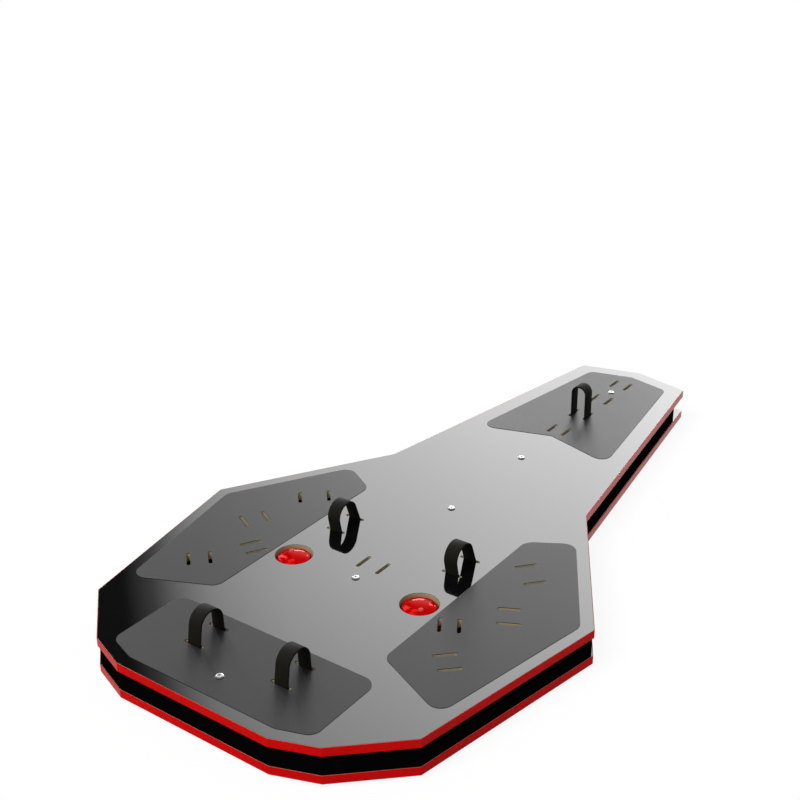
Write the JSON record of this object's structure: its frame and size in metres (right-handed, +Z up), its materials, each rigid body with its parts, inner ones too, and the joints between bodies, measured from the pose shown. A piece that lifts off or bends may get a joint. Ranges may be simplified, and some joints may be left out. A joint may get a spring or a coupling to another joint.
{
  "type": "bicycle trainer rocker plate",
  "caption": "Two-layer rocking platform: a slotted deck board with straps and grip pads tilts sideways on a long central shaft over a footed base board, levelled by two inflated balls.",
  "frame": {"origin": "on the floor under the middle of the boards' length and width", "axes": "+Y along the boards towards the narrow front, +X to the right, +Z up"},
  "size_m": [0.947, 1.705, 0.168],
  "materials": {
    "board": "birch plywood, gloss black laminate on both faces",
    "edge_band": "gloss red edge band",
    "grip": "matt dark grey grip sheet",
    "bolt": "bright plated steel",
    "saddle": "satin machined aluminium",
    "shaft_steel": "ground bearing steel",
    "housing": "cast bearing housing",
    "ball": "glossy red inflated ball",
    "valve": "paler red valve plug",
    "soft_rubber": "matt black moulded rubber",
    "skirt": "matt black elastic skirt",
    "webbing": "black hook-and-loop webbing"
  },
  "bodies": {
    "base": {"base_board": "board", "base_edge_band": "edge_band", "pillow_block_1": "housing", "bearing_insert_1": "shaft_steel", "pillow_bolt_1_left": "bolt", "pillow_bolt_1_right": "bolt", "pillow_block_2": "housing", "bearing_insert_2": "shaft_steel", "pillow_bolt_2_left": "bolt", "pillow_bolt_2_right": "bolt", "pillow_block_3": "housing", "bearing_insert_3": "shaft_steel", "pillow_bolt_3_left": "bolt", "pillow_bolt_3_right": "bolt", "pillow_block_4": "housing", "bearing_insert_4": "shaft_steel", "pillow_bolt_4_left": "bolt", "pillow_bolt_4_right": "bolt", "ball_left": "ball", "bumper_left_1": "soft_rubber", "bumper_left_2": "soft_rubber", "foot_left_1": "soft_rubber", "foot_left_2": "soft_rubber", "foot_left_3": "soft_rubber", "foot_left_4": "soft_rubber", "ball_right": "ball", "bumper_right_1": "soft_rubber", "bumper_right_2": "soft_rubber", "foot_right_1": "soft_rubber", "foot_right_2": "soft_rubber", "foot_right_3": "soft_rubber", "foot_right_4": "soft_rubber", "gap_skirt": "skirt"},
    "deck": {"deck_board": "board", "deck_edge_band": "edge_band", "grip_pad_right": "grip", "grip_pad_left": "grip", "grip_pad_rear": "grip", "grip_pad_front": "grip", "rocker_shaft": "shaft_steel", "shaft_saddle_1": "saddle", "deck_bolt_1": "bolt", "shaft_saddle_2": "saddle", "deck_bolt_2": "bolt", "shaft_saddle_3": "saddle", "deck_bolt_3": "bolt", "shaft_saddle_4": "saddle", "deck_bolt_4": "bolt", "shaft_saddle_5": "saddle", "deck_bolt_5": "bolt", "shaft_collar_rear": "saddle", "shaft_collar_front": "saddle", "valve_plug_left": "valve", "valve_plug_right": "valve", "strap_rear_left": "webbing", "strap_rear_right": "webbing", "strap_middle_left": "webbing", "strap_middle_right": "webbing", "strap_front": "webbing"}
  },
  "joints": [
    {"name": "deck_rock", "type": "hinge", "parent": "base", "child": "deck", "pos_m": [0, 0, 0.048], "axis": [0, 1, 0], "range_deg": [-4, 4], "stiffness_Nm_per_rad": 500, "deforming": ["ball_left", "ball_right", "gap_skirt"]}
  ]
}
